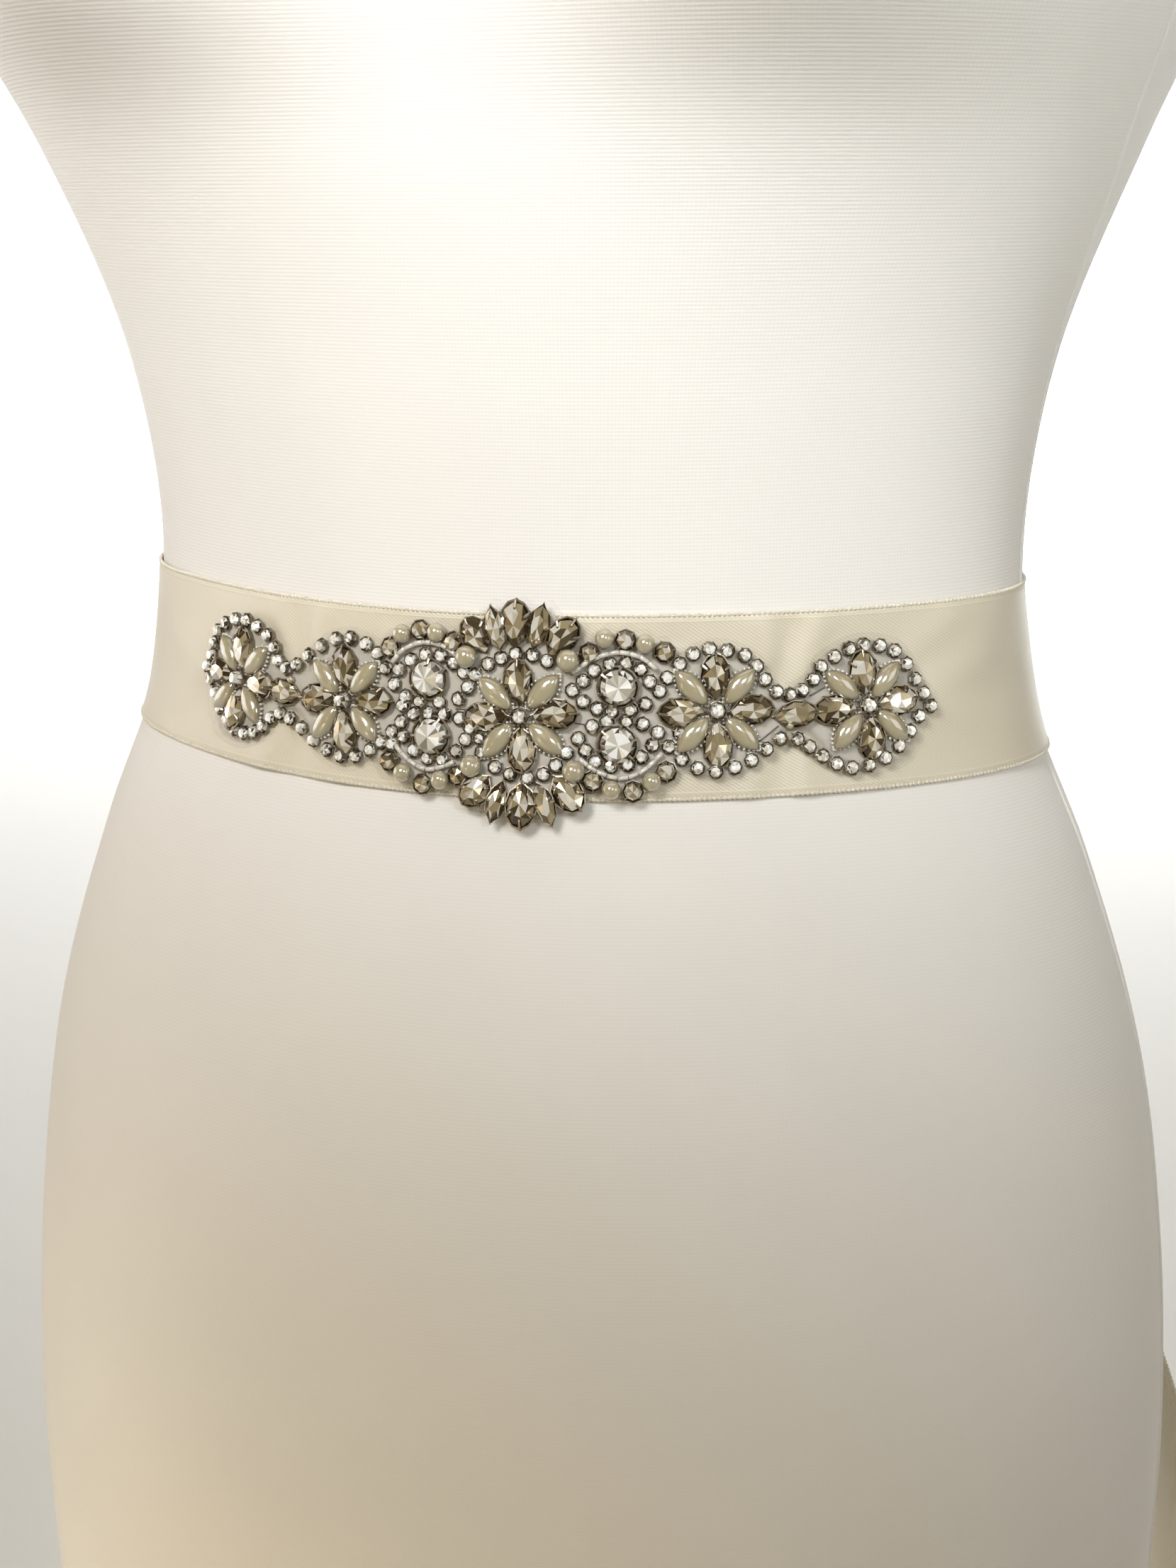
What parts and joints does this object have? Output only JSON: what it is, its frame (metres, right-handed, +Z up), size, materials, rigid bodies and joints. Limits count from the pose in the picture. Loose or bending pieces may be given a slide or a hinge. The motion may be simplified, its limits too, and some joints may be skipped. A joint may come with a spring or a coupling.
{
  "type": "bridal sash on a dress form",
  "caption": "Satin ribbon sash with a stone and pearl applique, tied round the waist of a smooth limbless dress form with its tails hanging behind.",
  "frame": {"origin": "centre of the dress form's flat base, on the surface it stands on", "axes": "+Z up, -Y out of the front where the applique is, +X towards the viewer's right"},
  "size_m": [0.3504, 0.2495, 0.792],
  "materials": {
    "jersey": "matt fine knit",
    "satin": "ivory double-faced satin",
    "trim": "sheer backing set with foiled glass and pearls"
  },
  "bodies": {
    "root": {"dress_form": "jersey", "sash_band": "satin", "knot": "satin", "tail_right": "satin", "tail_left": "satin", "applique": "trim"}
  },
  "joints": []
}
